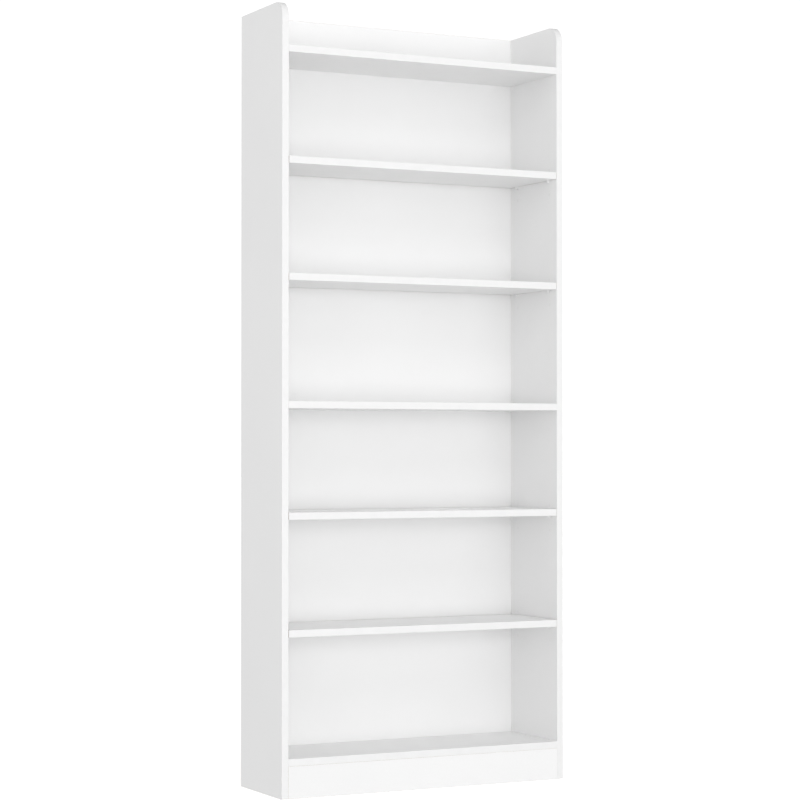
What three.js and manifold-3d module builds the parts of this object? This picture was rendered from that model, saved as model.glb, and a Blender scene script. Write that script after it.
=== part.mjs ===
// A tall bookcase with three fixed and four adjustable shelves, in knock-down chipboard.
// Millimetres. +Z is up, the open front faces -Y, and the origin is on the floor under the centre.
import * as THREE from "three";
import { mergeVertices } from "three/addons/utils/BufferGeometryUtils.js";
import Module from "manifold-3d";

const wasm = await Module();
wasm.setup();

// ---- Driving dimensions: carcase ----
const HEIGHT = 1960;
const WIDTH = 800;
const DEPTH = 255;
const BOARD = 18; // every faced chipboard panel
const KICK_HEIGHT = 80; // floor to the underside of the bottom shelf
const TOP_UPSTAND = 108; // how far the sides stand above the top shelf
const CORNER_RADIUS = 40; // rounded front top corner of each side
const BACK_THICKNESS = 3;
const BACK_SETBACK = 12; // rear edge of the sides to the rear face of the back
const BACK_TONGUE = 6; // how far the back reaches into each side
const BACK_SEAM = 1; // between the two back sheets, behind the middle shelf

// ---- Driving dimensions: adjustable shelves and their pins ----
const SHELVES_PER_BAY = 2;
const LOWEST_SHELF_RISE = 297; // top of a fixed shelf to the underside of the first adjustable one
const HOLE_PITCH = 32;
const SHELF_STEP = 9; // hole pitches from one adjustable shelf to the next
const SPARE_HOLES = 1; // spare holes above and below the one in use
const SHELF_END_GAP = 1;
const SHELF_REAR_GAP = 2;
const ROW_INSET = 37; // hole rows and fittings, in from a shelf's front and rear edges
const PIN_DIAMETER = 5;
const PIN_HOLE_DEPTH = 10;
const PIN_DROP = 5; // shelf underside to the pin's axis
const PIN_LEDGE_WIDTH = 12;
const PIN_LEDGE_REACH = 9;
const PIN_PLATE = 1.6;

// ---- Driving dimensions: cam fittings of the fixed shelves ----
const CAM_DIAMETER = 15;
const CAM_HOLE_DEPTH = 13;
const CAM_HEIGHT = 12.5;
const CAM_REACH = 34; // shelf end to the cam's axis
const CAM_SLOT_WIDTH = 1.4;
const CAM_SLOT_LENGTH = 8;
const CAM_SLOT_DEPTH = 2.2;
const CAM_WALL = 3.5; // what the head of the bolt pulls against
const END_BORE = 8;
const BOLT_HOLE = 5;
const BOLT_HOLE_DEPTH = 10;
const BOLT_NECK = 4;
const BOLT_COLLAR_LENGTH = 2;
const BOLT_HEAD = 6.6;
const BOLT_HEAD_LENGTH = 3.2;

// ---- Driving dimensions: dowels, wall bracket and screws ----
const DOWEL_DIAMETER = 8;
const DOWEL_LENGTH = 30;
const DOWEL_SIDE_DEPTH = 12; // hole in the side panel
const DOWEL_SPACING = 36;
const BRACKET_LEG = 40;
const BRACKET_WIDTH = 50;
const BRACKET_PLATE = 2;
const BRACKET_HOLE = 5;
const SCREW_SPACING = 30;
const SCREW_SHANK = 3.4;
const SCREW_LENGTH = 12;
const SCREW_HEAD = 8;
const SCREW_HEAD_TOP = 5; // flat top of the domed head
const SCREW_HEAD_HEIGHT = 2;

// ---- Clearances ----
const FIT = 0.3; // around anything that sits in a hole or a groove
const END_PLAY = 1; // beyond the end of a dowel in its two holes

// ---- Sides of the round shapes ----
const SMALL_SIDES = 8;
const CAM_SIDES = 16;
const CORNER_STEPS = 12;

// ---- Places worked out from the sizes above ----
const INNER_HALF = WIDTH / 2 - BOARD;
const FRONT = -DEPTH / 2;
const REAR = DEPTH / 2;
const BACK_REAR = REAR - BACK_SETBACK;
const BACK_FRONT = BACK_REAR - BACK_THICKNESS;
const FRONT_ROW = FRONT + ROW_INSET;
const REAR_ROW = BACK_FRONT - ROW_INSET;
const TOP_SHELF_TOP = HEIGHT - TOP_UPSTAND;
const BAY = (TOP_SHELF_TOP - KICK_HEIGHT - 3 * BOARD) / 2; // clear height between fixed shelves
const FIXED_SHELVES = {
  bottom: { low: KICK_HEIGHT, cam_face: -1 },
  middle: { low: KICK_HEIGHT + BOARD + BAY, cam_face: -1 },
  top: { low: TOP_SHELF_TOP - BOARD, cam_face: 1 },
};
const SHELF_LEVELS = ["bottom", "middle"].flatMap((name) =>
  Array.from(
    { length: SHELVES_PER_BAY },
    (_, i) => FIXED_SHELVES[name].low + BOARD + LOWEST_SHELF_RISE + i * SHELF_STEP * HOLE_PITCH,
  ),
);
const SIDES = { left: -1, right: 1 };
const ROWS = { front: FRONT_ROW, rear: REAR_ROW };

// ---- Materials ----
const material = (color, roughness, metalness = 0) =>
  new THREE.MeshStandardMaterial({ color, roughness, metalness });
const WHITE_BOARD = () => material(0xf1f1ef, 0.45);
const WHITE_BACK = () => material(0xe9e9e7, 0.6);
const STEEL = () => material(0xb9bbbd, 0.32, 1);
const WHITE_STEEL = () => material(0xe6e6e5, 0.4);
const ZINC = () => material(0x9fa2a4, 0.5, 0.9);
const BEECH = () => material(0xc9a676, 0.7);

// ---- Shape helpers ----
function block(low, high) {
  const size = low.map((v, i) => high[i] - v);
  const centre = low.map((v, i) => (high[i] + v) / 2);
  return new THREE.BoxGeometry(...size).translate(...centre);
}

// A cylinder along X from one end to the other, about the axis at (y, z).
function rodAlongX(diameter, fromX, toX, y, z, sides = SMALL_SIDES) {
  return new THREE.CylinderGeometry(diameter / 2, diameter / 2, Math.abs(toX - fromX), sides)
    .rotateZ(Math.PI / 2)
    .translate((fromX + toX) / 2, y, z);
}

function rodAlongZ(diameter, fromZ, toZ, x, y, sides = SMALL_SIDES) {
  return new THREE.CylinderGeometry(diameter / 2, diameter / 2, Math.abs(toZ - fromZ), sides)
    .rotateX(Math.PI / 2)
    .translate(x, y, (fromZ + toZ) / 2);
}

function toSolid(geometry) {
  const bare = geometry.clone();
  bare.deleteAttribute("normal");
  bare.deleteAttribute("uv");
  const merged = mergeVertices(bare, 1e-4);
  return new wasm.Manifold(
    new wasm.Mesh({
      numProp: 3,
      vertProperties: merged.attributes.position.array,
      triVerts: new Uint32Array(merged.index.array),
    }),
  );
}

function toGeometry(solid) {
  const mesh = solid.getMesh();
  const geometry = new THREE.BufferGeometry();
  geometry.setAttribute("position", new THREE.BufferAttribute(mesh.vertProperties, 3));
  geometry.setIndex(new THREE.BufferAttribute(mesh.triVerts, 1));
  return geometry;
}

function cut(geometry, holes) {
  return toGeometry(holes.reduce((body, hole) => body.subtract(toSolid(hole)), toSolid(geometry)));
}

function join(geometries) {
  return toGeometry(geometries.map(toSolid).reduce((body, next) => body.add(next)));
}

const bookcase = new THREE.Group();

function place(name, geometry, finish, position = [0, 0, 0], rotation = [0, 0, 0]) {
  const mesh = new THREE.Mesh(geometry, finish);
  mesh.name = name;
  mesh.position.set(...position);
  mesh.rotation.set(...rotation);
  bookcase.add(mesh);
}

// ---- Side panels ----
// Heights of the pin holes: the one in use and its spares, at every adjustable shelf.
const pinHoleHeights = SHELF_LEVELS.flatMap((level) =>
  Array.from(
    { length: 2 * SPARE_HOLES + 1 },
    (_, i) => level - PIN_DROP + (i - SPARE_HOLES) * HOLE_PITCH,
  ),
);
const boltHeights = Object.values(FIXED_SHELVES).map(({ low }) => low + BOARD / 2);
const dowelHeights = [-1, 1].map((side) => KICK_HEIGHT / 2 + (side * DOWEL_SPACING) / 2);
const DOWEL_Y = FRONT + BOARD / 2;

const ALONG_X = new THREE.Vector3(1, 0, 0);
const ALONG_Y = new THREE.Vector3(0, 1, 0);
const ALONG_Z = new THREE.Vector3(0, 0, 1);

function sideOutline() {
  const outline = new THREE.Shape();
  outline.moveTo(FRONT, 0);
  outline.lineTo(REAR, 0);
  outline.lineTo(REAR, HEIGHT);
  outline.lineTo(FRONT + CORNER_RADIUS, HEIGHT);
  outline.absarc(FRONT + CORNER_RADIUS, HEIGHT - CORNER_RADIUS, CORNER_RADIUS, Math.PI / 2, Math.PI);
  return outline;
}

function sidePanel(side) {
  const innerFace = side * INNER_HALF;
  const inward = (distance) => innerFace - side * distance;
  // The outline is drawn in X and Y, and turned so that it stands in Y and Z with its thickness along X.
  const board = new THREE.ExtrudeGeometry(sideOutline(), {
    depth: BOARD,
    bevelEnabled: false,
    curveSegments: CORNER_STEPS,
  })
    .applyMatrix4(new THREE.Matrix4().makeBasis(ALONG_Y, ALONG_Z, ALONG_X))
    .translate(side > 0 ? INNER_HALF : -INNER_HALF - BOARD, 0, 0);
  const across = [inward(END_PLAY), inward(-BACK_TONGUE - FIT)].sort((a, b) => a - b);
  const groove = block(
    [across[0], BACK_FRONT - FIT, -END_PLAY],
    [across[1], BACK_REAR + FIT, HEIGHT + END_PLAY],
  );
  const blindHole = (diameter, depth, y, z) =>
    rodAlongX(diameter, inward(END_PLAY), inward(-depth), y, z);
  const holes = Object.values(ROWS).flatMap((y) => [
    ...pinHoleHeights.map((z) => blindHole(PIN_DIAMETER + 2 * FIT, PIN_HOLE_DEPTH, y, z)),
    ...boltHeights.map((z) => blindHole(BOLT_HOLE, BOLT_HOLE_DEPTH, y, z)),
  ]);
  const dowelHoles = dowelHeights.map((z) =>
    blindHole(DOWEL_DIAMETER + 2 * FIT, DOWEL_SIDE_DEPTH, DOWEL_Y, z),
  );
  return cut(board, [groove, ...holes, ...dowelHoles]);
}

for (const [name, side] of Object.entries(SIDES)) {
  place(`${name}_side_panel`, sidePanel(side), WHITE_BOARD());
}

// ---- Fixed shelves with their cam fittings ----
const CAM_X = INNER_HALF - CAM_REACH;
const SCREW_Y = BACK_FRONT - BRACKET_LEG / 2;
const SCREW_HOLE_DEPTH = SCREW_LENGTH - BRACKET_PLATE + END_PLAY;

function fixedShelf(name, { low, cam_face }) {
  const high = low + BOARD;
  const face = cam_face > 0 ? high : low;
  const bores = Object.values(SIDES).flatMap((side) =>
    Object.values(ROWS).flatMap((y) => [
      rodAlongX(END_BORE, side * (INNER_HALF + END_PLAY), side * CAM_X, y, low + BOARD / 2),
      rodAlongZ(
        CAM_DIAMETER,
        face + cam_face * END_PLAY,
        face - cam_face * CAM_HOLE_DEPTH,
        side * CAM_X,
        y,
        CAM_SIDES,
      ),
    ]),
  );
  const screwHoles = Object.values(SIDES).map((side) =>
    rodAlongZ(
      SCREW_SHANK + 2 * FIT,
      high + END_PLAY,
      high - SCREW_HOLE_DEPTH,
      (side * SCREW_SPACING) / 2,
      SCREW_Y,
    ),
  );
  const board = block([-INNER_HALF, FRONT, low], [INNER_HALF, BACK_FRONT, high]);
  return cut(board, name === "top" ? [...bores, ...screwHoles] : bores);
}

// The cam, about its own axis: the bolt comes in along +X at the origin, the screwdriver from +Z.
const HEAD_CHAMBER = BOLT_HEAD / 2 + 2 * FIT;
const NECK_SLOT = BOLT_NECK / 2 + FIT;
const HEAD_START = CAM_DIAMETER / 2 - CAM_WALL; // cam axis to the shoulder of the bolt's head
function camLock() {
  const radius = CAM_DIAMETER / 2 - FIT;
  const faceZ = BOARD / 2;
  const baseZ = faceZ - CAM_HEIGHT;
  const below = baseZ - END_PLAY;
  const body = rodAlongZ(2 * radius, baseZ, faceZ, 0, 0, CAM_SIDES);
  const chamber = block(
    [HEAD_START - BOLT_HEAD_LENGTH - FIT, -HEAD_CHAMBER, below],
    [HEAD_START + FIT, HEAD_CHAMBER, HEAD_CHAMBER],
  );
  const slot = block([HEAD_START, -NECK_SLOT, below], [radius + END_PLAY, NECK_SLOT, NECK_SLOT]);
  const long = CAM_SLOT_LENGTH / 2;
  const thin = CAM_SLOT_WIDTH / 2;
  const deep = faceZ - CAM_SLOT_DEPTH;
  const drive = [
    block([-long, -thin, deep], [long, thin, faceZ + END_PLAY]),
    block([-thin, -long, deep], [thin, long, faceZ + END_PLAY]),
  ];
  return cut(body, [chamber, slot, ...drive]);
}

// The bolt, along X from the cam's axis: the head, the neck, the collar on the side panel, the thread.
function camBolt() {
  const thread = BOLT_HOLE / 2 - FIT;
  const collar = END_BORE / 2 - FIT;
  const threadEnd = CAM_REACH + BOLT_HOLE_DEPTH - END_PLAY;
  const profile = [
    [0, HEAD_START - BOLT_HEAD_LENGTH],
    [BOLT_HEAD / 2, HEAD_START - BOLT_HEAD_LENGTH],
    [BOLT_HEAD / 2, HEAD_START],
    [BOLT_NECK / 2, HEAD_START],
    [BOLT_NECK / 2, CAM_REACH - BOLT_COLLAR_LENGTH],
    [collar, CAM_REACH - BOLT_COLLAR_LENGTH],
    [collar, CAM_REACH],
    [thread, CAM_REACH],
    [thread, threadEnd],
    [0, threadEnd],
  ].map(([radius, along]) => new THREE.Vector2(radius, along));
  return new THREE.LatheGeometry(profile, SMALL_SIDES).rotateZ(-Math.PI / 2);
}

const camGeometry = camLock();
const boltGeometry = camBolt();
for (const [name, shelf] of Object.entries(FIXED_SHELVES)) {
  place(`${name}_shelf`, fixedShelf(name, shelf), WHITE_BOARD());
  for (const [end, side] of Object.entries(SIDES)) {
    for (const [row, y] of Object.entries(ROWS)) {
      const position = [side * CAM_X, y, shelf.low + BOARD / 2];
      const rotation = [shelf.cam_face > 0 ? 0 : Math.PI, 0, side > 0 ? 0 : Math.PI];
      place(`cam_lock_${name}_${end}_${row}`, camGeometry, ZINC(), position, rotation);
      place(`cam_bolt_${name}_${end}_${row}`, boltGeometry, STEEL(), position, rotation);
    }
  }
}

// ---- Kick board on its dowels ----
const DOWEL_KICK_DEPTH = DOWEL_LENGTH + 2 * END_PLAY - DOWEL_SIDE_DEPTH;
const kickHoles = Object.values(SIDES).flatMap((side) =>
  dowelHeights.map((z) =>
    rodAlongX(
      DOWEL_DIAMETER + 2 * FIT,
      side * (INNER_HALF + END_PLAY),
      side * (INNER_HALF - DOWEL_KICK_DEPTH),
      DOWEL_Y,
      z,
    ),
  ),
);
const kickBoard = block([-INNER_HALF, FRONT, 0], [INNER_HALF, FRONT + BOARD, KICK_HEIGHT]);
place("kick_board", cut(kickBoard, kickHoles), WHITE_BOARD());

for (const [end, side] of Object.entries(SIDES)) {
  dowelHeights.forEach((z, i) => {
    const outerEnd = side * (INNER_HALF + DOWEL_SIDE_DEPTH - END_PLAY);
    const dowel = rodAlongX(DOWEL_DIAMETER, outerEnd, outerEnd - side * DOWEL_LENGTH, DOWEL_Y, z);
    place(`kick_dowel_${end}_${["lower", "upper"][i]}`, dowel, BEECH());
  });
}

// ---- Back, in two sheets that meet behind the middle shelf ----
const seam = FIXED_SHELVES.middle.low + BOARD / 2;
const backHalf = INNER_HALF + BACK_TONGUE;
const backSheets = {
  back_panel_lower: [0, seam - BACK_SEAM / 2],
  back_panel_upper: [seam + BACK_SEAM / 2, HEIGHT],
};
for (const [name, [low, high]] of Object.entries(backSheets)) {
  place(name, block([-backHalf, BACK_FRONT, low], [backHalf, BACK_REAR, high]), WHITE_BACK());
}

// ---- Adjustable shelves on four pins each ----
// The pin, about the peg's axis on the side panel's inner face: the peg runs along +X into the hole.
function shelfPin() {
  const width = PIN_LEDGE_WIDTH / 2;
  return join([
    rodAlongX(PIN_DIAMETER, -PIN_PLATE / 2, PIN_HOLE_DEPTH - END_PLAY, 0, 0),
    block([-PIN_PLATE, -width, -PIN_DIAMETER / 2], [0, width, PIN_DROP]),
    block([-PIN_LEDGE_REACH, -width, PIN_DROP - PIN_PLATE], [0, width, PIN_DROP]),
  ]);
}

const pinGeometry = shelfPin();
const shelfHalf = INNER_HALF - SHELF_END_GAP;
const shelfRear = BACK_FRONT - SHELF_REAR_GAP;
SHELF_LEVELS.forEach((level, i) => {
  const number = i + 1;
  const board = block([-shelfHalf, FRONT, level], [shelfHalf, shelfRear, level + BOARD]);
  place(`adjustable_shelf_${number}`, board, WHITE_BOARD());
  for (const [end, side] of Object.entries(SIDES)) {
    for (const [row, y] of Object.entries(ROWS)) {
      const position = [side * INNER_HALF, y, level - PIN_DROP];
      const rotation = [0, 0, side > 0 ? 0 : Math.PI];
      place(`shelf_pin_${number}_${end}_${row}`, pinGeometry, WHITE_STEEL(), position, rotation);
    }
  }
});

// ---- Wall bracket on the top shelf, against the back ----
function wallBracket() {
  const half = BRACKET_WIDTH / 2;
  const front = BACK_FRONT - BRACKET_LEG;
  const plates = join([
    block([-half, front, TOP_SHELF_TOP], [half, BACK_FRONT, TOP_SHELF_TOP + BRACKET_PLATE]),
    block(
      [-half, BACK_FRONT - BRACKET_PLATE, TOP_SHELF_TOP],
      [half, BACK_FRONT, TOP_SHELF_TOP + BRACKET_LEG],
    ),
  ]);
  const screwHoles = Object.values(SIDES).map((side) =>
    rodAlongZ(
      SCREW_SHANK + 2 * FIT,
      TOP_SHELF_TOP - END_PLAY,
      TOP_SHELF_TOP + BRACKET_PLATE + END_PLAY,
      (side * SCREW_SPACING) / 2,
      SCREW_Y,
    ),
  );
  const radius = BRACKET_HOLE / 2;
  const wallHole = new THREE.CylinderGeometry(radius, radius, BRACKET_PLATE + 2 * END_PLAY, CAM_SIDES)
    .translate(0, BACK_FRONT - BRACKET_PLATE / 2, TOP_SHELF_TOP + BRACKET_LEG / 2);
  return cut(plates, [...screwHoles, wallHole]);
}

function bracketScrew() {
  const profile = [
    [0, BRACKET_PLATE - SCREW_LENGTH],
    [SCREW_SHANK / 2, BRACKET_PLATE - SCREW_LENGTH + SCREW_SHANK / 2],
    [SCREW_SHANK / 2, BRACKET_PLATE + FIT],
    [SCREW_HEAD / 2, BRACKET_PLATE + FIT],
    [SCREW_HEAD_TOP / 2, BRACKET_PLATE + FIT + SCREW_HEAD_HEIGHT],
    [0, BRACKET_PLATE + FIT + SCREW_HEAD_HEIGHT],
  ].map(([radius, along]) => new THREE.Vector2(radius, along));
  return new THREE.LatheGeometry(profile, SMALL_SIDES).rotateX(Math.PI / 2);
}

place("wall_bracket", wallBracket(), STEEL());
const screwGeometry = bracketScrew();
for (const [name, side] of Object.entries(SIDES)) {
  const position = [(side * SCREW_SPACING) / 2, SCREW_Y, TOP_SHELF_TOP];
  place(`bracket_screw_${name}`, screwGeometry, STEEL(), position);
}

export default bookcase;
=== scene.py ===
import math

import bmesh
import bpy
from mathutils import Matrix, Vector


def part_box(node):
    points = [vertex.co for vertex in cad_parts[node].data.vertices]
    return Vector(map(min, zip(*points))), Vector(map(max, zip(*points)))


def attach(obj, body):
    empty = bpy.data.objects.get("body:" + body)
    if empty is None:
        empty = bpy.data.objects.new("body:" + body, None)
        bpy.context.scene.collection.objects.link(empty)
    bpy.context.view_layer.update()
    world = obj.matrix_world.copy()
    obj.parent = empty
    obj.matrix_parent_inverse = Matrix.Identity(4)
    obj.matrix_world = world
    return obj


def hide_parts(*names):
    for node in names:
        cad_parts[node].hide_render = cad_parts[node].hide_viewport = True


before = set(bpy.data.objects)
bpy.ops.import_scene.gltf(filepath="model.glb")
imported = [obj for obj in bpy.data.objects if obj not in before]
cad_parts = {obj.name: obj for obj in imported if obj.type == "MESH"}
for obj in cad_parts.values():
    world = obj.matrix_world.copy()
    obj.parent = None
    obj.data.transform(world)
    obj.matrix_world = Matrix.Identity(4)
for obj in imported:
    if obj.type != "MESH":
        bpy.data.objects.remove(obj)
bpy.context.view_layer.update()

MM = 0.001

# ---- Boards, where the frame doesn't say ----
BAND = 1.0 * MM  # thickness of the glued edge band
BAND_EASE = 0.7 * MM  # radius scraped on the band's long edges
CORE_EASE = 0.15 * MM  # hairline left along every cut edge of a board
KICK_EASE = 0.25 * MM
BACK_EASE = 0.25 * MM
CORNER_RADIUS = 40 * MM  # front top corner of each side
CORNER_STEPS = 32
EASE_STEPS = 4
GROOVE_PLAY = 0.3 * MM  # room round the back in its grooves
FACING = 0.9  # a face whose normal is this close to a direction faces that way

# ---- Holes ----
HOLE_PITCH = 32 * MM
PIN_DROP = 5 * MM  # shelf underside to the axis of its pins
PIN_HOLE_RADIUS = 2.4 * MM
PIN_HOLE_DEPTH = 10 * MM
BOLT_HOLE_RADIUS = 2.5 * MM
BOLT_HOLE_DEPTH = 10 * MM
END_BORE_RADIUS = 4 * MM
END_BORE_STOP = 4 * MM  # short of the cam's axis
CAM_HOLE_RADIUS = 7.5 * MM
CAM_HOLE_DEPTH = 13 * MM
DOWEL_HOLE_RADIUS = 4.3 * MM
HOLE_SIDES = 32
CUT_PAST = 1 * MM  # how far a cutter starts outside the face it cuts

# ---- Nails, pins and caps ----
NAIL_HEAD_RADIUS = 2.6 * MM
NAIL_HEAD = 0.6 * MM
NAIL_POINT = 2.0 * MM
NAIL_POINT_RADIUS = 0.7 * MM
NAIL_NECK_RADIUS = 0.8 * MM
NAIL_NECK = 0.1 * MM
NAIL_SIDES = 20
NAILS_ACROSS = 7
NAIL_INSET = 40 * MM
PIN_RADIUS = 2.25 * MM
PIN_SIDES = 24
PIN_PLATE = 1.6 * MM
PIN_PLATE_EASE = 0.35 * MM
PIN_PLATE_STEPS = 3
PIN_GROOVE = 0.92  # the peg's radius between its ribs, as a share
PIN_FIRST_RIB = 1.5 * MM
PIN_RIB_PITCH = 2.0 * MM
PIN_RIB_RISE = 1.2 * MM
PIN_RIB_FALL = 0.1 * MM
PIN_RIBS = 3
PIN_TAPER = ((8.2 * MM, 0.9), (8.8 * MM, 0.6))  # distance along the peg, share of its radius
WEB_REACH = (1.0 * MM, 6.0 * MM)  # the web under the ledge, out from the side
WEB_HALF = 0.9 * MM
WEB_RISE = 1.0 * MM
WEB_DROP = 0.5 * MM
WEB_EASE = 0.3 * MM
CAP_RADIUS = 3.9 * MM
CAP_RISE = 0.7 * MM
CAP_LIP = 0.1 * MM
CAP_SEAT = 0.02 * MM  # gap under the cap's rim
CAP_STEM = 6.0 * MM
CAP_STEM_RADII = (1.9 * MM, 2.2 * MM, 2.3 * MM)
CAP_STEM_CHAMFER = 0.6 * MM
CAP_SIDES = 28

# ---- Cams ----
CAM_SIDES = 40
CAM_RELIEF = 0.97  # radius of the cam below its rim, as a share
CAM_FOOT = 0.9
CAM_FOOT_RISE = 0.8 * MM
CAM_RIM = (1.2 * MM, 1.0 * MM, 0.4 * MM, 0.1 * MM)  # steps of the rim below the cam's face
CAM_ROUND = (0.35 * MM, 0.7 * MM)
CAM_CROSS = (3.6 * MM, 0.8 * MM, 2.4 * MM)  # reach, half width and depth
ARROW_TIP = 6.1 * MM
ARROW_LENGTH = 1.6 * MM
ARROW_HALF = 1.0 * MM
ARROW_DEPTH = 0.35 * MM

# ---- Wall bracket and its screws ----
BRACKET_PLATE = 2 * MM
BRACKET_BEND = 2.5 * MM
BEND_STEPS = 8
BRACKET_CORNER = 5 * MM
BRACKET_CORNER_STEPS = 6
SCREW_HOLE_RADIUS = 2.2 * MM
WALL_HOLE_RADIUS = 2.5 * MM
SCREW_HEAD = 2 * MM
SCREW_SHANK = 1.6 * MM  # radius
SCREW_ROOT = 0.72  # radius between the threads, as a share
SCREW_SHOULDER = 0.9
SCREW_TIP = 0.15 * MM
SCREW_TAPER = 1.6 * MM
THREAD_START = 2.0 * MM
THREAD_PITCH = 1.25 * MM
THREAD_RISE = 0.55 * MM
THREAD_CREST = 0.15 * MM
THREAD_STOP = 2 * MM  # plain shank under the head
HEAD_ROUND = ((0.5 * MM, 1.0), (1.3 * MM, 0.88), (1.8 * MM, 0.62))  # rise, share of its radius
HEAD_TOP = 0.3
SCREW_SIDES = 28
SCREW_CROSS = (2.2 * MM, 0.5 * MM, 1.4 * MM)
CLEAN_ANGLE = 40  # degrees, past which an edge stays crisp
FITTING_ANGLE = 30

# ---- Places read from the frame ----
ENDS = {"left": -1, "right": 1}
ROWS = ("front", "rear")
FIXED = ("bottom", "middle", "top")
ADJUSTABLE = (1, 2, 3, 4)
SIDE_LOW, SIDE_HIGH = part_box("right_side_panel")
INNER_HALF = SIDE_LOW.x
FRONT, REAR = SIDE_LOW.y, SIDE_HIGH.y
BACK_LOW, BACK_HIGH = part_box("back_panel_upper")


# ---------------------------------------------------------------- shader maths
class Value:
    """One output of a node. Arithmetic on it adds Math nodes to its tree."""

    def __init__(self, nodes, socket):
        self.nodes = nodes
        self.socket = socket

    def math(self, operation, first, second):
        return self.nodes.node("ShaderNodeMath", {"operation": operation}, {0: first, 1: second})

    def __add__(self, other):
        return self.math("ADD", self, other)

    def __sub__(self, other):
        return self.math("SUBTRACT", self, other)

    def __rsub__(self, other):
        return self.math("SUBTRACT", other, self)

    def __mul__(self, other):
        return self.math("MULTIPLY", self, other)

    __radd__ = __add__
    __rmul__ = __mul__


class Nodes:
    """A node tree, and the one method that adds any node to it."""

    def __init__(self, tree):
        self.tree = tree

    def node(self, kind, settings=None, sockets=None, output=0):
        made = self.tree.nodes.new(kind)
        for key, value in (settings or {}).items():
            if key == "stops":
                self.set_stops(made.color_ramp.elements, value)
            else:
                setattr(made, key, value)
        for key, value in (sockets or {}).items():
            self.feed(made.inputs[key], value)
        return Value(self, made.outputs[output])

    def set_stops(self, elements, stops):
        while len(elements) < len(stops):
            elements.new(1.0)
        for element, (place, colour) in zip(elements, stops):
            element.position = place
            element.color = rgba(colour)

    def feed(self, socket, value):
        if isinstance(value, Value):
            self.tree.links.new(value.socket, socket)
        else:
            socket.default_value = value

    def between(self, value, low, high, to_low=0.0, to_high=1.0):
        """Maps low to high onto to_low to to_high, smoothly and clamped."""
        sockets = {"Value": value, 1: low, 2: high, 3: to_low, 4: to_high}
        return self.node("ShaderNodeMapRange", {"interpolation_type": "SMOOTHSTEP"}, sockets)


class Finish(Nodes):
    """A material built round one Principled shader."""

    def __init__(self, name):
        self.material = bpy.data.materials.new(name)
        self.material.use_nodes = True
        super().__init__(self.material.node_tree)
        self.shader = self.tree.nodes["Principled BSDF"]

    def set(self, **sockets):
        """Sets the shader's sockets, named in lower case with underscores."""
        for key, value in sockets.items():
            name = key.replace("_", " ").title().replace("Ior", "IOR")
            self.feed(self.shader.inputs[name], value)

    def place(self, stretch=(1, 1, 1)):
        """Object coordinates in metres, scaled along each axis."""
        coordinates = self.node("ShaderNodeTexCoord", output="Object")
        return self.node("ShaderNodeMapping", {}, {"Vector": coordinates, "Scale": stretch})

    def noise(self, scale, detail=2.0, roughness=0.5, stretch=(1, 1, 1)):
        sockets = {
            "Vector": self.place(stretch),
            "Scale": scale,
            "Detail": detail,
            "Roughness": roughness,
        }
        return self.node("ShaderNodeTexNoise", {}, sockets, "Fac")

    def cells(self, scale, stretch=(1, 1, 1), output="Distance"):
        sockets = {"Vector": self.place(stretch), "Scale": scale}
        return self.node("ShaderNodeTexVoronoi", {}, sockets, output)

    def ramp(self, value, *stops):
        return self.node("ShaderNodeValToRGB", {"stops": stops}, {"Fac": value}, "Color")

    def mix(self, factor, first, second):
        sockets = {"Factor": factor, 6: first, 7: second}
        return self.node("ShaderNodeMix", {"data_type": "RGBA"}, sockets, 2)

    def bump(self, height, depth, strength=1.0):
        sockets = {"Height": height, "Distance": depth, "Strength": strength}
        return self.node("ShaderNodeBump", {}, sockets)

    def attribute(self, name):
        return self.node("ShaderNodeAttribute", {"attribute_name": name}, {}, "Fac")


def grey(level):
    return (level, level, level)


def rgba(colour):
    """A colour with full opacity, as the sockets want it."""
    return (*colour, 1.0)


# ---------------------------------------------------------------- finishes
def make_melamine(name, level):
    """White melamine face: a fine pressed texture, faint cloudiness and wiped-on scuffs."""
    finish = Finish(name)
    cloud = finish.noise(3.5, 3.0)
    speck = finish.noise(420, 1.0)
    pressed = finish.noise(1400, 2.0, 0.6)
    scuff = finish.noise(26, 4.0, 0.65, (1, 1, 9))
    tone = cloud * 0.6 + speck * 0.4
    white = finish.ramp(tone, (0.3, grey(level - 0.02)), (0.7, grey(level + 0.012)))
    rubbed = finish.between(scuff, 0.58, 0.72)
    finish.set(
        base_color=finish.mix(rubbed * 0.25, white, rgba(grey(level - 0.03))),
        roughness=0.40 + cloud * 0.08 + rubbed * 0.08,
        normal=finish.bump(pressed + speck * 0.5, 0.00007, 0.5),
        specular_ior_level=0.45,
    )
    return finish.material


def make_band(level):
    """The plastic edge band: smoother than the faces, duller where it has been rubbed."""
    finish = Finish("white_edge_band")
    drawn = finish.noise(160, 2.0, 0.5, (0.15, 0.15, 1))
    patch = finish.noise(38, 3.0)
    edge = finish.attribute("edge")
    worn = edge * finish.between(patch, 0.5, 0.68)
    # level comes in below the faces' white: painted shade on the front edges.
    white = finish.ramp(patch, (0.3, grey(level - 0.012)), (0.7, grey(level + 0.01)))
    handled = (level - 0.086, level - 0.09, level - 0.096)
    finish.set(
        base_color=finish.mix(worn * 0.5, white, rgba(handled)),
        roughness=0.33 + patch * 0.06 + worn * 0.2,
        normal=finish.bump(drawn, 0.00003, 0.3),
    )
    return finish.material


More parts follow.
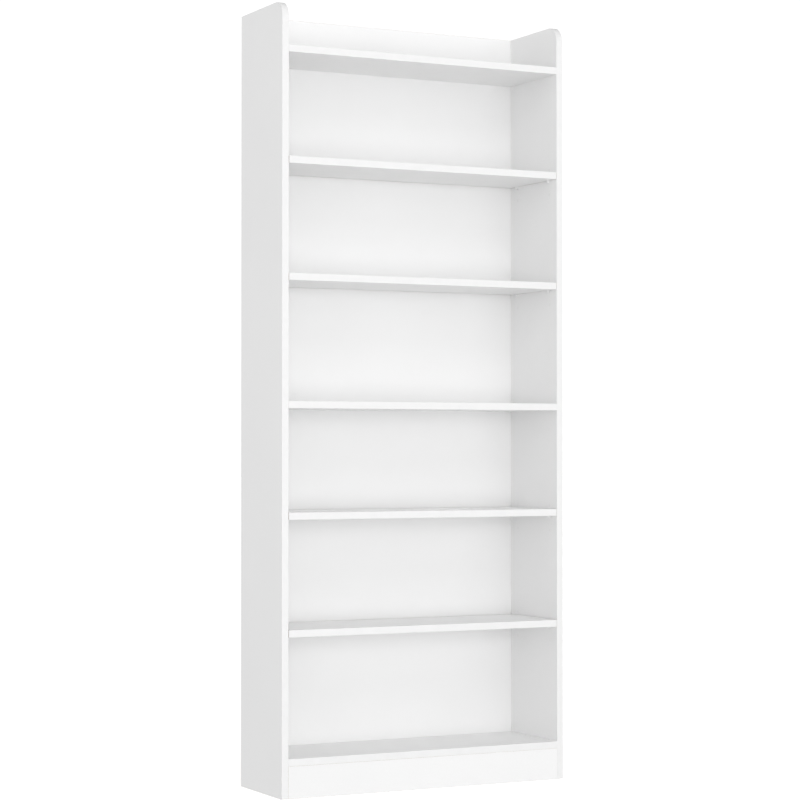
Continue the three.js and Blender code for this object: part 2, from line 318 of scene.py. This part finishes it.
def make_chipboard():
    """The raw core: pressed flakes of two sizes in a paler binder, with painted shade darkening the
    hollows between the flakes.
    """
    finish = Finish("raw_chipboard")
    flakes = finish.cells(520, (1, 1, 1.6), "Color")
    gaps = finish.cells(310, (1, 1, 1.4))
    tone = finish.node("ShaderNodeRGBToBW", {}, {"Color": flakes})
    straw = finish.ramp(
        tone,
        (0.1, (0.33, 0.22, 0.12)),
        (0.45, (0.55, 0.41, 0.26)),
        (0.9, (0.72, 0.58, 0.40)),
    )
    # Painted shade: the hollows between the flakes are darkened in colour as well as sunk in the bump.
    shaded_hollow = finish.between(gaps, 0.45, 0.85)
    finish.set(
        base_color=finish.mix(shaded_hollow * 0.6, straw, (0.16, 0.10, 0.06, 1)),
        roughness=0.86,
        normal=finish.bump(tone - shaded_hollow, 0.0003, 0.7),
    )
    return finish.material


def make_back_face(level):
    """White printed foil on thin fibreboard, with the board's faint print-through."""
    finish = Finish("white_back_foil")
    cloud = finish.noise(2.6, 3.0)
    fibre = finish.noise(700, 3.0, 0.65)
    white = finish.ramp(cloud, (0.3, grey(level - 0.015)), (0.7, grey(level + 0.01)))
    finish.set(
        base_color=white,
        roughness=0.5 + cloud * 0.08,
        normal=finish.bump(fibre, 0.00005, 0.35),
    )
    return finish.material


def make_hardboard():
    """The bare brown rear of the back: felted fibres, darker bundles and pale dust."""
    finish = Finish("raw_hardboard")
    felt = finish.noise(210, 5.0, 0.7)
    bundles = finish.noise(60, 4.0, 0.6, (1, 1, 5))
    cloud = finish.noise(2.2, 2.0)
    brown = finish.ramp(
        felt * 0.6 + cloud * 0.4,
        (0.32, (0.245, 0.150, 0.082)),
        (0.5, (0.335, 0.215, 0.125)),
        (0.68, (0.425, 0.290, 0.180)),
    )
    dark = finish.between(bundles, 0.60, 0.72)
    finish.set(
        base_color=finish.mix(dark * 0.45, brown, (0.15, 0.085, 0.045, 1)),
        roughness=0.72 + felt * 0.16,
        normal=finish.bump(felt + bundles * 0.4, 0.00012, 0.6),
    )
    return finish.material


def make_coated_steel():
    """White powder coat on pressed steel: fine orange peel, thin and grey where it rubs."""
    finish = Finish("white_coated_steel")
    peel = finish.noise(1100, 2.0)
    rubbed = finish.between(finish.noise(320, 3.0, 0.6), 0.60, 0.72)
    finish.set(
        base_color=finish.mix(rubbed * 0.35, rgba(grey(0.84)), (0.60, 0.60, 0.61, 1)),
        roughness=0.34 + peel * 0.1 + rubbed * 0.15,
        normal=finish.bump(peel, 0.00004, 0.4),
    )
    return finish.material


def make_cap_plastic():
    """Moulded white caps: satin, with a faint swirl from the mould."""
    finish = Finish("white_cap_plastic")
    swirl = finish.noise(240, 3.0, 0.6)
    finish.set(
        base_color=finish.ramp(swirl, (0.3, grey(0.815)), (0.7, grey(0.845))),
        roughness=0.42 + swirl * 0.08,
        normal=finish.bump(swirl, 0.00003, 0.3),
    )
    return finish.material


def make_metal(name, colour, roughness, grain, cast=0.0):
    """Plated or cast metal: fine grain, cloudy plating and rubbed spots."""
    finish = Finish(name)
    fine = finish.noise(grain, 3.0, 0.6)
    cloud = finish.noise(170, 4.0, 0.6)
    dull = tuple(c * 0.86 for c in colour)
    finish.set(
        base_color=finish.mix(finish.between(cloud, 0.35, 0.75), rgba(colour), rgba(dull)),
        metallic=1.0,
        roughness=roughness + cloud * 0.12,
        normal=finish.bump(fine, 0.00002 + cast, 0.4),
    )
    return finish.material


def make_beech():
    """Bare beech, with its short dark flecks along the grain."""
    finish = Finish("beech")
    grain = finish.noise(240, 4.0, 0.6, (0.12, 1, 1))
    fleck = finish.between(finish.noise(900, 1.0, 0.5, (0.1, 1, 1)), 0.62, 0.7)
    wood = finish.ramp(grain, (0.3, (0.47, 0.30, 0.16)), (0.7, (0.64, 0.46, 0.28)))
    finish.set(
        base_color=finish.mix(fleck * 0.5, wood, (0.30, 0.17, 0.09, 1)),
        roughness=0.7,
        normal=finish.bump(grain, 0.0001, 0.5),
    )
    return finish.material


FACE_WHITE = 0.865  # how much light each white surface gives back
# Kick board: the same melamine as the faces made darker, as painted shade that offsets the extra light
# on its open face.
KICK_SHADED_WHITE = 0.81
# Edge band: set darker than the faces so that the front-facing edges come out darker under the front
# lights, as painted shade.
BAND_SHADED_WHITE = 0.775
BACK_WHITE = 0.858
FACE = make_melamine("white_melamine", FACE_WHITE)
KICK_SHADED_FACE = make_melamine("kick_board_shaded_melamine", KICK_SHADED_WHITE)
EDGE = make_band(BAND_SHADED_WHITE)
CORE = make_chipboard()
FOIL = make_back_face(BACK_WHITE)
HARDBOARD = make_hardboard()
COATED = make_coated_steel()
CAP_WHITE = make_cap_plastic()
CAST_ZINC = make_metal("cast_zinc", (0.50, 0.51, 0.52), 0.38, 900, 0.00004)
ZINC_PLATE = make_metal("zinc_plate", (0.62, 0.64, 0.66), 0.26, 1200)
BEECH = make_beech()


# ---------------------------------------------------------------- mesh helpers
def make_piece(name, bm, materials, body, nodes=()):
    """Turns a bmesh into a named piece that rides on a body and stands for CAD nodes."""
    bmesh.ops.recalc_face_normals(bm, faces=bm.faces)
    mesh = bpy.data.meshes.new(name)
    bm.to_mesh(mesh)
    bm.free()
    for material in materials:
        mesh.materials.append(material)
    piece = bpy.data.objects.new(name, mesh)
    bpy.context.scene.collection.objects.link(piece)
    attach(piece, body)
    if nodes:
        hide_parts(*nodes)
    return piece


def soften(piece, angle=CLEAN_ANGLE):
    """Smooth shading that keeps real corners, with flat faces left flat."""
    mesh = piece.data
    mesh.polygons.foreach_set("use_smooth", [True] * len(mesh.polygons))
    mesh.set_sharp_from_angle(angle=math.radians(angle))
    weighted = piece.modifiers.new("flat_faces", "WEIGHTED_NORMAL")
    weighted.keep_sharp = True


def drill(piece, cutters):
    """Cuts a bmesh of cutters out of a piece. The walls of the cuts take its last material."""
    tool_mesh = bpy.data.meshes.new("cutter")
    bmesh.ops.recalc_face_normals(cutters, faces=cutters.faces)
    for face in cutters.faces:
        face.material_index = len(piece.data.materials) - 1
    cutters.to_mesh(tool_mesh)
    cutters.free()
    for material in piece.data.materials:
        tool_mesh.materials.append(material)
    tool = bpy.data.objects.new("cutter", tool_mesh)
    bpy.context.scene.collection.objects.link(tool)
    cut = piece.modifiers.new("cut", "BOOLEAN")
    cut.operation = "DIFFERENCE"
    cut.solver = "EXACT"
    cut.object = tool
    bpy.context.view_layer.update()
    shown = piece.evaluated_get(bpy.context.evaluated_depsgraph_get())
    made = bpy.data.meshes.new_from_object(shown)
    piece.modifiers.clear()
    old = piece.data
    piece.data = made
    made.name = piece.name
    bpy.data.meshes.remove(old)
    bpy.data.objects.remove(tool)
    bpy.data.meshes.remove(tool_mesh)


def add_loop_stack(bm, loops):
    """Joins rings of points with quads and caps the two ends. Returns the wall faces by step."""
    rings = [[bm.verts.new(point) for point in loop] for loop in loops]
    walls = []
    for below, above in zip(rings, rings[1:]):
        count = len(below)
        step = []
        for i in range(count):
            j = (i + 1) % count
            step.append(bm.faces.new((below[i], below[j], above[j], above[i])))
        walls.append(step)
    bm.faces.new(list(reversed(rings[0])))
    bm.faces.new(rings[-1])
    return walls


def ring(centre, radius, along, sides):
    """Points of a circle about an axis through its centre."""
    turn = along.to_track_quat("Z", "Y")
    angles = [2 * math.pi * i / sides for i in range(sides)]
    return [centre + turn @ Vector((math.cos(a) * radius, math.sin(a) * radius, 0)) for a in angles]


def add_turned(bm, origin, along, profile, sides=HOLE_SIDES):
    """A turned shape: profile is (distance along the axis, radius) from one end to the other."""
    along = Vector(along).normalized()
    origin = Vector(origin)
    add_loop_stack(bm, [ring(origin + along * far, radius, along, sides) for far, radius in profile])


def add_rod(bm, start, end, radius):
    start, end = Vector(start), Vector(end)
    add_turned(bm, start, end - start, ((0, radius), ((end - start).length, radius)))


def middle_of(low, high):
    return (low + high) / 2


def add_block(bm, low, high, ease=0.0, steps=1):
    """A block with eased edges."""
    low, high = Vector(low), Vector(high)
    corners = ((low.x, low.y), (high.x, low.y), (high.x, high.y), (low.x, high.y))
    block = bmesh.new()
    add_loop_stack(block, [[Vector((x, y, z)) for x, y in corners] for z in (low.z, high.z)])
    if ease:
        edges = block.edges[:]
        bmesh.ops.bevel(block, geom=edges, offset=ease, segments=steps, affect="EDGES", profile=0.5)
    merge(bm, block)


def add_cross(bm, centre, outward, reach, half_width, depth):
    """A plus-shaped cutter for a cross recess, sunk depth below its centre."""
    r, w = reach, half_width
    half = [(r, w), (w, w), (w, r), (-w, r), (-w, w), (-r, w)]
    outline = [Vector((x, y, 0)) for x, y in half] + [Vector((-x, -y, 0)) for x, y in half]
    add_prism(bm, [centre + point for point in outline], outward, depth)


def add_prism(bm, outline, outward, depth):
    """A cutter with a flat outline, sunk depth below the face that it lies on."""
    add_loop_stack(bm, [[p + outward * far for p in outline] for far in (-depth, CUT_PAST)])


def merge(bm, other):
    """Adds one bmesh to another and frees it."""
    mesh = bpy.data.meshes.new("part")
    other.to_mesh(mesh)
    other.free()
    bm.from_mesh(mesh)
    bpy.data.meshes.remove(mesh)


def paint_core(bm, raw_directions):
    """Gives the raw core (material 1) to the cut edges that face the given ways."""
    for face in bm.faces:
        if any(face.normal.dot(Vector(way)) > FACING for way in raw_directions):
            face.material_index = 1


def add_band(bm, path, normals, across):
    """An edge band swept along a path: its outer face on the path, its thickness inwards."""
    layer = bm.faces.layers.float.get("edge") or bm.faces.layers.float.new("edge")
    width = across.length
    side = across.normalized()
    quarter = [math.pi / 2 * i / EASE_STEPS for i in range(EASE_STEPS + 1)]
    section = [(0.0, -BAND)]
    section += [(BAND_EASE * (1 - math.cos(a)), BAND_EASE * (math.sin(a) - 1)) for a in quarter]
    section += [(width - w, d) for w, d in reversed(section)]
    loops = [
        [point + side * w + normal * d for w, d in section] for point, normal in zip(path, normals)
    ]
    eased = set(range(1, 1 + EASE_STEPS)) | set(range(3 + EASE_STEPS, 3 + 2 * EASE_STEPS))
    for step in add_loop_stack(bm, loops):
        for i, face in enumerate(step):
            if i in eased:
                face[layer] = 1.0


# ---------------------------------------------------------------- boards
def side_outline(inset):
    """The side panel's outline in Y and Z from the front bottom, over the top, to the rear bottom."""
    top = SIDE_HIGH.z - inset
    front = FRONT + inset
    radius = CORNER_RADIUS - inset
    arc = [math.pi / 2 * i / CORNER_STEPS for i in range(CORNER_STEPS + 1)]
    points = [(front, 0.0)]
    points += [(front + radius * (1 - math.cos(a)), top - radius * (1 - math.sin(a))) for a in arc]
    points += [(REAR, top)]
    normals = [(-1, 0)]
    normals += [(-math.cos(a), math.sin(a)) for a in arc]
    normals += [(0, 1)]
    return points, normals


def make_side(end, side):
    """One side: the grooved and drilled board, and the band round its front and top edges."""
    node = f"{end}_side_panel"
    low_x, high_x = sorted((side * INNER_HALF, side * SIDE_HIGH.x))
    outline, _ = side_outline(BAND)
    outline = [*outline, (REAR, 0.0)]
    bm = bmesh.new()
    add_loop_stack(bm, [[Vector((x, y, z)) for y, z in outline] for x in (low_x, high_x)])
    corners = [e for e in bm.edges if abs(e.verts[0].co.x - e.verts[1].co.x) < CORE_EASE]
    bmesh.ops.bevel(bm, geom=corners, offset=CORE_EASE, segments=1, affect="EDGES")
    bm.normal_update()
    bmesh.ops.recalc_face_normals(bm, faces=bm.faces)
    paint_core(bm, ((0, 1, 0), (0, 0, -1)))
    board = make_piece(f"{end}_side_board", bm, (FACE, CORE), "carcase", (node,))
    drill(board, side_cuts(end, side))
    soften(board)

    path, normals = side_outline(0.0)
    bm = bmesh.new()
    add_band(
        bm,
        [Vector((low_x, y, z)) for y, z in path],
        [Vector((0, y, z)) for y, z in normals],
        Vector((high_x - low_x, 0, 0)),
    )
    soften(make_piece(f"{end}_side_band", bm, (EDGE,), "carcase"))


def side_cuts(end, side):
    """The back's groove, and the holes for pins, cam bolts and dowels."""
    cutters = bmesh.new()
    face = side * INNER_HALF

    def hole(at, radius, depth):
        start = (face - side * CUT_PAST, at.y, at.z)
        add_rod(cutters, start, (face + side * depth, at.y, at.z), radius)

    across = sorted((face - side * CUT_PAST, side * (BACK_HIGH.x + GROOVE_PLAY)))
    add_block(
        cutters,
        (across[0], BACK_LOW.y - GROOVE_PLAY, -CUT_PAST),
        (across[1], BACK_HIGH.y + GROOVE_PLAY, SIDE_HIGH.z + CUT_PAST),
    )
    for row in ROWS:
        for number in ADJUSTABLE:
            for step in (-1, 0, 1):
                hole(pin_axis(number, end, row, step), PIN_HOLE_RADIUS, PIN_HOLE_DEPTH)
        for name in FIXED:
            bolt = middle_of(*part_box(f"cam_bolt_{name}_{end}_{row}"))
            hole(bolt, BOLT_HOLE_RADIUS, BOLT_HOLE_DEPTH)
    for height in ("lower", "upper"):
        low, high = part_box(f"kick_dowel_{end}_{height}")
        depth = max(abs(low.x), abs(high.x)) - INNER_HALF + CUT_PAST
        hole(middle_of(low, high), DOWEL_HOLE_RADIUS, depth)
    return cutters


def pin_axis(number, end, row, step=0):
    """Where a pin's axis meets the side, or the spare hole a number of pitches above it."""
    low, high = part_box(f"shelf_pin_{number}_{end}_{row}")
    z = high.z - PIN_DROP + step * HOLE_PITCH
    return Vector((ENDS[end] * INNER_HALF, (low.y + high.y) / 2, z))


def make_shelf(node, body, cutters=None):
    """A banded shelf: the faced board, and the edge band in front of it."""
    low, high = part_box(node)
    bm = bmesh.new()
    add_block(bm, (low.x, low.y + BAND, low.z), high, CORE_EASE)
    bm.normal_update()
    paint_core(bm, ((0, 1, 0), (1, 0, 0), (-1, 0, 0)))
    board = make_piece(f"{node}_board", bm, (FACE, CORE), body, (node,))
    if cutters:
        drill(board, cutters)
    soften(board)

    bm = bmesh.new()
    path = [low, Vector((high.x, low.y, low.z))]
    add_band(bm, path, [Vector((0, -1, 0))] * 2, Vector((0, 0, high.z - low.z)))
    soften(make_piece(f"{node}_band", bm, (EDGE,), body))


def fixed_shelf_cuts(name):
    """The cam holes in a fixed shelf's face and the bolt bores in its two ends."""
    cutters = bmesh.new()
    low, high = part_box(f"{name}_shelf")
    outward = 1 if name == "top" else -1
    face = high.z if name == "top" else low.z
    z = (low.z + high.z) / 2
    for end, side in ENDS.items():
        for row in ROWS:
            cam = middle_of(*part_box(f"cam_lock_{name}_{end}_{row}"))
            open_end = (cam.x, cam.y, face + outward * CUT_PAST)
            add_rod(cutters, open_end, (cam.x, cam.y, face - outward * CAM_HOLE_DEPTH), CAM_HOLE_RADIUS)
            bore_end = (cam.x + side * END_BORE_STOP, cam.y, z)
            add_rod(cutters, (side * (INNER_HALF + CUT_PAST), cam.y, z), bore_end, END_BORE_RADIUS)
    return cutters


def make_kick_board():
    """The kick board: no band, raw on its ends and long edges, with dowel holes in the ends."""
    low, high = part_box("kick_board")
    bm = bmesh.new()
    add_block(bm, low, high, KICK_EASE, 2)
    bm.normal_update()
    paint_core(bm, ((1, 0, 0), (-1, 0, 0), (0, 0, -1), (0, 0, 1)))
    # The kick board's face takes the darker copy of the melamine: painted shade.
    finishes = (KICK_SHADED_FACE, CORE)
    board = make_piece("kick_panel", bm, finishes, "carcase", ("kick_board",))
    cutters = bmesh.new()
    for end, side in ENDS.items():
        for height in ("lower", "upper"):
            dowel_low, dowel_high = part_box(f"kick_dowel_{end}_{height}")
            dowel = middle_of(dowel_low, dowel_high)
            inner = min(abs(dowel_low.x), abs(dowel_high.x)) - CUT_PAST
            start = (side * (INNER_HALF + CUT_PAST), dowel.y, dowel.z)
            add_rod(cutters, start, (side * inner, dowel.y, dowel.z), DOWEL_HOLE_RADIUS)
    drill(board, cutters)
    soften(board)


def make_back(node):
    """One sheet of the back: white in front, bare behind and on its edges."""
    low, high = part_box(node)
    bm = bmesh.new()
    add_block(bm, low, high, BACK_EASE)
    bm.normal_update()
    for face in bm.faces:
        face.material_index = 0 if face.normal.y < -FACING else 1
    name = node.replace("panel", "sheet")
    soften(make_piece(name, bm, (FOIL, HARDBOARD), "carcase", (node,)))


# ---------------------------------------------------------------- fittings
def make_back_nails():
    """Flat-headed nails through the back into the rear edges of the fixed shelves."""
    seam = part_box("back_panel_lower")[1].z
    heights = []
    for name in FIXED:
        low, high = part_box(f"{name}_shelf")
        middle = (low.z + high.z) / 2
        quarter = (high.z - low.z) / 4
        both_sheets = low.z < seam < high.z
        heights += [middle - quarter, middle + quarter] if both_sheets else [middle]
    profile = (
        (-NAIL_POINT, NAIL_POINT_RADIUS),
        (-NAIL_NECK, NAIL_NECK_RADIUS),
        (0.0, NAIL_HEAD_RADIUS * 0.9),
        (NAIL_HEAD * 0.3, NAIL_HEAD_RADIUS),
        (NAIL_HEAD * 0.7, NAIL_HEAD_RADIUS * 0.95),
        (NAIL_HEAD, NAIL_HEAD_RADIUS * 0.7),
    )
    span = INNER_HALF - NAIL_INSET
    bm = bmesh.new()
    for z in heights:
        for i in range(NAILS_ACROSS):
            x = -span + 2 * span * i / (NAILS_ACROSS - 1)
            add_turned(bm, (x, BACK_HIGH.y, z), (0, 1, 0), profile, NAIL_SIDES)
    soften(make_piece("back_nails", bm, (ZINC_PLATE,), "carcase"))


def make_pin(number, end, side, row):
    """A coated shelf pin: ribbed peg, plate against the side, ledge under the shelf, web."""
    node = f"shelf_pin_{number}_{end}_{row}"
    low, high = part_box(node)
    axis = pin_axis(number, end, row)
    groove = PIN_RADIUS * PIN_GROOVE
    peg = [(0, PIN_RADIUS)]
    for i in range(PIN_RIBS):
        foot = PIN_FIRST_RIB + PIN_RIB_PITCH * i
        crest = foot + PIN_RIB_RISE
        peg += [(foot, groove), (crest, PIN_RADIUS), (crest + PIN_RIB_FALL, groove)]
    peg += [(along, PIN_RADIUS * share) for along, share in PIN_TAPER]
    bm = bmesh.new()
    start = axis - Vector((side * PIN_PLATE / 2, 0, 0))
    add_turned(bm, start, (side, 0, 0), peg, PIN_SIDES)

    across = sorted((axis.x, axis.x - side * PIN_PLATE))
    plate = ((across[0], low.y, low.z), (across[1], high.y, high.z))
    reach = (low.x, axis.x) if side > 0 else (axis.x, high.x)
    ledge = ((reach[0], low.y, high.z - PIN_PLATE), (reach[1], high.y, high.z))
    for corners in (plate, ledge):
        add_block(bm, *corners, PIN_PLATE_EASE, PIN_PLATE_STEPS)
    web = sorted(axis.x - side * out for out in WEB_REACH)
    web_low = (web[0], axis.y - WEB_HALF, low.z + WEB_RISE)
    add_block(bm, web_low, (web[1], axis.y + WEB_HALF, high.z - WEB_DROP), WEB_EASE, 2)
    name = node.replace("shelf_pin", "pin")
    soften(make_piece(name, bm, (COATED,), "carcase", (node,)))


def make_hole_caps(end, side):
    """Push-in caps over the spare holes above and below each shelf's pins."""
    tip, stem, neck = CAP_STEM_RADII
    profile = (
        (-CAP_STEM, tip),
        (-CAP_STEM + CAP_STEM_CHAMFER, stem),
        (CAP_SEAT, neck),
        (CAP_SEAT, CAP_RADIUS - CAP_LIP),
        (CAP_RISE * 0.35, CAP_RADIUS),
        (CAP_RISE * 0.75, CAP_RADIUS * 0.9),
        (CAP_RISE, CAP_RADIUS * 0.6),
    )
    bm = bmesh.new()
    for row in ROWS:
        for number in ADJUSTABLE:
            for step in (-1, 1):
                add_turned(bm, pin_axis(number, end, row, step), (-side, 0, 0), profile, CAP_SIDES)
    soften(make_piece(f"{end}_hole_caps", bm, (CAP_WHITE,), "carcase"))


def make_cam(name, end, side, row):
    """A cast cam: rounded rim, cross recess and the arrow that shows where the bolt comes in."""
    node = f"cam_lock_{name}_{end}_{row}"
    low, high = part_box(node)
    outward = Vector((0, 0, 1 if name == "top" else -1))
    centre = middle_of(low, high)
    centre.z = high.z if name == "top" else low.z
    radius = (high.y - low.y) / 2
    depth = high.z - low.z
    skirt, rim, shoulder, lip = CAM_RIM
    profile = (
        (-depth, radius * CAM_FOOT),
        (-depth + CAM_FOOT_RISE, radius * CAM_RELIEF),
        (-skirt, radius * CAM_RELIEF),
        (-rim, radius),
        (-shoulder, radius),
        (-lip, radius - CAM_ROUND[0]),
        (0.0, radius - CAM_ROUND[1]),
    )
    bm = bmesh.new()
    add_turned(bm, centre, outward, profile, CAM_SIDES)
    piece = node.replace("cam_lock", "cam")
    cam = make_piece(piece, bm, (CAST_ZINC,), "carcase", (node,))
    cutters = bmesh.new()
    add_cross(cutters, centre, outward, *CAM_CROSS)
    tip = centre + Vector((side * ARROW_TIP, 0, 0))
    barbs = [tip + Vector((-side * ARROW_LENGTH, half, 0)) for half in (ARROW_HALF, -ARROW_HALF)]
    mark = bmesh.new()
    add_prism(mark, [tip, *barbs], outward, ARROW_DEPTH)
    merge(cutters, mark)
    drill(cam, cutters)
    soften(cam, FITTING_ANGLE)


def make_bracket():
    """The wall bracket: a bent strip with rounded ends and holes for its screws and the wall's."""
    low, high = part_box("wall_bracket")
    plate = BRACKET_PLATE
    bend = [math.pi / 2 * i / BEND_STEPS for i in range(BEND_STEPS + 1)]
    centre_y, centre_z = high.y - BRACKET_BEND, low.z + BRACKET_BEND
    outer, inner = (
        [(centre_y + radius * math.sin(a), centre_z - radius * math.cos(a)) for a in bend]
        for radius in (BRACKET_BEND, BRACKET_BEND - plate)
    )
    outline = [(low.y, low.z), *outer, (high.y, high.z), (high.y - plate, high.z)]
    outline += [*reversed(inner), (low.y, low.z + plate)]
    bm = bmesh.new()
    add_loop_stack(bm, [[Vector((x, y, z)) for y, z in outline] for x in (low.x, high.x)])
    bm.normal_update()

    def at_strip_end(edge):
        middle = middle_of(edge.verts[0].co, edge.verts[1].co)
        spans_plate = abs(edge.calc_length() - plate) < 0.01 * MM
        return spans_plate and (middle.y < low.y + 0.5 * MM or middle.z > high.z - 0.05 * MM)

    corners = [edge for edge in bm.edges if at_strip_end(edge)]
    bmesh.ops.bevel(
        bm,
        geom=corners,
        offset=BRACKET_CORNER,
        segments=BRACKET_CORNER_STEPS,
        affect="EDGES",
        profile=0.5,
    )
    node = "wall_bracket"
    bracket = make_piece("wall_strap", bm, (ZINC_PLATE,), "carcase", (node,))
    cutters = bmesh.new()
    for end in ENDS:
        screw = middle_of(*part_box(f"bracket_screw_{end}"))
        below = (screw.x, screw.y, low.z - CUT_PAST)
        add_rod(cutters, below, (screw.x, screw.y, low.z + plate + CUT_PAST), SCREW_HOLE_RADIUS)
    middle = low.z + (high.z - low.z) / 2
    behind = (0, high.y + CUT_PAST, middle)
    add_rod(cutters, behind, (0, high.y - plate - CUT_PAST, middle), WALL_HOLE_RADIUS)
    drill(bracket, cutters)
    soften(bracket, FITTING_ANGLE)


def make_screw(end):
    """A pan-head screw with a cross recess and a cut thread."""
    node = f"bracket_screw_{end}"
    low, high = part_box(node)
    x, y = (low.x + high.x) / 2, (low.y + high.y) / 2
    head = (high.x - low.x) / 2
    under = high.z - SCREW_HEAD
    root = SCREW_SHANK * SCREW_ROOT
    profile = [(low.z, SCREW_TIP), (low.z + SCREW_TAPER, SCREW_SHANK * SCREW_SHOULDER)]
    z = low.z + THREAD_START
    while z < under - THREAD_STOP:
        crest = z + THREAD_RISE
        profile += [(z, root), (crest, SCREW_SHANK), (crest + THREAD_CREST, SCREW_SHANK)]
        z += THREAD_PITCH
    profile += [(under, SCREW_SHANK), (under, head)]
    profile += [(under + rise, head * share) for rise, share in HEAD_ROUND]
    profile += [(high.z, head * HEAD_TOP)]
    bm = bmesh.new()
    add_turned(bm, (x, y, 0), (0, 0, 1), profile, SCREW_SIDES)
    name = f"strap_screw_{end}"
    screw = make_piece(name, bm, (ZINC_PLATE,), "carcase", (node,))
    cutters = bmesh.new()
    add_cross(cutters, Vector((x, y, high.z)), Vector((0, 0, 1)), *SCREW_CROSS)
    drill(screw, cutters)
    soften(screw, FITTING_ANGLE)


def finish_cad_node(node, material):
    """Gives a buried fitting, which keeps the frame's own shape, its real finish."""
    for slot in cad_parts[node].material_slots:
        slot.material = material


# ---------------------------------------------------------------- the bookcase
for end, side in ENDS.items():
    make_side(end, side)
    make_hole_caps(end, side)
for name in FIXED:
    make_shelf(f"{name}_shelf", "carcase", fixed_shelf_cuts(name))
for number in ADJUSTABLE:
    make_shelf(f"adjustable_shelf_{number}", f"shelf_{number}")
make_kick_board()
for node in ("back_panel_lower", "back_panel_upper"):
    make_back(node)
make_back_nails()
for end, side in ENDS.items():
    for row in ROWS:
        for number in ADJUSTABLE:
            make_pin(number, end, side, row)
        for name in FIXED:
            make_cam(name, end, side, row)
            finish_cad_node(f"cam_bolt_{name}_{end}_{row}", ZINC_PLATE)
    for height in ("lower", "upper"):
        finish_cad_node(f"kick_dowel_{end}_{height}", BEECH)
    make_screw(end)
make_bracket()


# ---------------------------------------------------------------- studio
FLOOR_HALF = 60.0
FLOOR_DROP = 0.5 * MM  # just under the feet, so that the two faces don't meet
FLOOR_GLOW = 0.62
SKY = 0.54  # strength of the white surround overhead
HORIZON = 1.09
UNDER = 0.74  # stands for the bounce from a pale floor
SKY_FADE = (0.22, 0.42)  # rise of the direction over which the horizon fades into the sky
UNDER_FADE = (-0.05, -0.2)
SKY_PANEL = (4.0, 3.0)
WIDE_PANEL = (4.0, 2.4)
NARROW_PANEL = (3.0, 2.4)
CAMERA_PLACE = (-2.7012, -5.2785, 0.8575)
CAMERA_TILT = 90.914  # degrees from looking straight down
CAMERA_TURN = -27.007
LENS = 103.605  # mm, on a 36 mm sensor
LENS_SHIFT = 0.015
FAR_CLIP = 200


def make_floor():
    """A plain pale floor, lit a little from below so that only a soft shadow shows."""
    finish = Finish("pale_floor")
    cloud = finish.noise(1.2, 2.0)
    finish.set(
        base_color=finish.ramp(cloud, (0.3, grey(0.90)), (0.7, grey(0.92))),
        roughness=0.85,
        emission_color=(1, 1, 1, 1),
        emission_strength=FLOOR_GLOW,
        specular_ior_level=0.1,
    )
    bm = bmesh.new()
    half = FLOOR_HALF
    corners = ((-half, -half), (half, -half), (half, half), (-half, half))
    bm.faces.new([bm.verts.new((x, y, 0)) for x, y in corners])
    mesh = bpy.data.meshes.new("floor")
    bm.to_mesh(mesh)
    bm.free()
    mesh.materials.append(finish.material)
    floor = bpy.data.objects.new("floor", mesh)
    floor.location.z = -FLOOR_DROP
    floor.visible_diffuse = False  # the surround below the horizon stands for its bounce
    floor.visible_glossy = False
    floor.visible_shadow = False
    bpy.context.scene.collection.objects.link(floor)


def make_surround():
    """A white surround: dimmer overhead and below, white at eye level."""
    world = bpy.data.worlds.new("studio")
    world.use_nodes = True
    studio = Nodes(world.node_tree)
    direction = studio.node("ShaderNodeTexCoord", output="Generated")
    rise = studio.node("ShaderNodeSeparateXYZ", {}, {"Vector": direction}, "Z")
    upper = studio.between(rise, *SKY_FADE, HORIZON, SKY)
    lower = studio.between(rise, *UNDER_FADE, 0.0, UNDER - HORIZON)
    background = studio.tree.nodes["Background"]
    studio.feed(background.inputs["Color"], (1, 1, 1, 1))
    studio.feed(background.inputs["Strength"], upper + lower)
    bpy.context.scene.world = world


def make_light(name, place, size, power):
    """A large soft panel aimed at the middle of the bookcase."""
    lamp = bpy.data.lights.new(name, "AREA")
    lamp.shape = "RECTANGLE"
    lamp.size, lamp.size_y = size
    lamp.energy = power
    light = bpy.data.objects.new(name, lamp)
    light.location = place
    light.rotation_mode = "QUATERNION"
    middle = Vector((0, 0, SIDE_HIGH.z / 2))
    light.rotation_quaternion = (middle - Vector(place)).to_track_quat("-Z", "Y")
    bpy.context.scene.collection.objects.link(light)


def make_camera():
    lens = bpy.data.cameras.new("camera")
    lens.sensor_width = 36
    lens.lens = LENS
    lens.shift_y = LENS_SHIFT
    lens.clip_end = FAR_CLIP
    camera = bpy.data.objects.new("camera", lens)
    camera.location = CAMERA_PLACE
    camera.rotation_euler = (math.radians(CAMERA_TILT), 0, math.radians(CAMERA_TURN))
    bpy.context.scene.collection.objects.link(camera)
    bpy.context.scene.camera = camera


make_floor()
make_surround()
make_light("near_panel", (-1.8, -5.9, 0.8), NARROW_PANEL, 79)
make_light("front_panel", (0.9, -6.0, 0.7), WIDE_PANEL, 34)
make_light("high_panel", (-0.8, -4.6, 5.2), SKY_PANEL, 71)
make_camera()
bpy.context.scene.view_settings.view_transform = "Standard"
